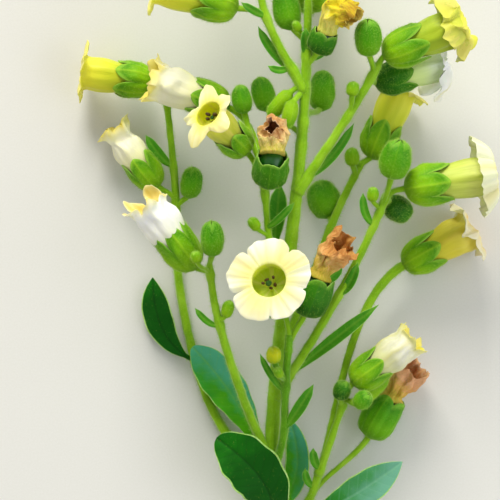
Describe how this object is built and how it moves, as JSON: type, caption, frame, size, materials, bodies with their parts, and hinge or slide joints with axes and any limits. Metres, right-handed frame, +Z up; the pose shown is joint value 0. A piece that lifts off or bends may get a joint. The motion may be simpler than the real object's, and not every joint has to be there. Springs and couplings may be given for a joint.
{
  "type": "cut flowering stem of a tobacco plant",
  "caption": "A leafy tobacco stem cut for its flowers, lying down, with branching stalks, pale yellow tubular blooms in green calyces, buds, seed pods and dried corollas.",
  "frame": {"origin": "the bottom centre of the object's box, on the surface that the cut stem lies on", "axes": "+Y runs along the stem from its cut end to its tip, +Z is up from the surface, and +X is to the right of the stem seen from above"},
  "size_m": [0.0844, 0.1422, 0.0378],
  "materials": {
    "stem": "matte, downy",
    "calyx": "matte, downy",
    "corolla": "satin",
    "dried": "matte, papery",
    "pod": "satin",
    "leaf": "satin"
  },
  "bodies": {
    "root": {"main_stem": "stem", "right_upper_branch": "stem", "left_upper_branch": "stem", "left_middle_branch": "stem", "left_branch": "stem", "front_stalk": "stem", "right_lower_branch": "stem", "right_low_branch": "stem", "back_right_branch": "stem", "back_left_branch": "stem", "front_bloom_calyx": "calyx", "front_bloom_corolla": "corolla", "right_bloom_calyx": "calyx", "right_bloom_corolla": "corolla", "upper_right_bloom_calyx": "calyx", "upper_right_bloom_corolla": "corolla", "upper_right_back_bloom_calyx": "calyx", "upper_right_back_bloom_corolla": "corolla", "upper_left_bloom_calyx": "calyx", "upper_left_bloom_corolla": "corolla", "left_star_bloom_calyx": "calyx", "left_star_bloom_corolla": "corolla", "left_fading_bloom_calyx": "calyx", "left_fading_bloom_corolla": "corolla", "left_pale_bloom_calyx": "calyx", "left_pale_bloom_corolla": "corolla", "right_low_fading_bloom_calyx": "calyx", "right_low_fading_bloom_corolla": "corolla", "back_right_bloom_calyx": "calyx", "back_right_bloom_corolla": "corolla", "far_right_bloom_calyx": "calyx", "far_right_bloom_corolla": "corolla", "back_left_pale_bloom_calyx": "calyx", "back_left_pale_bloom_corolla": "corolla", "back_left_bloom_calyx": "calyx", "back_left_bloom_corolla": "corolla", "top_right_bloom_calyx": "calyx", "top_right_bloom_corolla": "corolla", "top_left_bloom_calyx": "calyx", "top_left_bloom_corolla": "corolla", "top_back_bloom_calyx": "calyx", "top_back_bloom_corolla": "corolla", "front_pod": "pod", "front_pod_dried_corolla": "dried", "left_pod": "pod", "left_pod_dried_corolla": "dried", "top_pod": "pod", "top_pod_dried_corolla": "dried", "right_low_pod": "pod", "right_low_pod_dried_corolla": "dried", "left_bud": "calyx", "right_bud": "calyx", "upper_right_bud": "calyx", "front_leaf": "leaf", "left_leaf": "leaf", "right_leaf": "leaf", "inner_leaf": "leaf", "long_bract": "leaf", "middle_leaf": "leaf", "back_left_leaf": "leaf"}
  },
  "joints": []
}
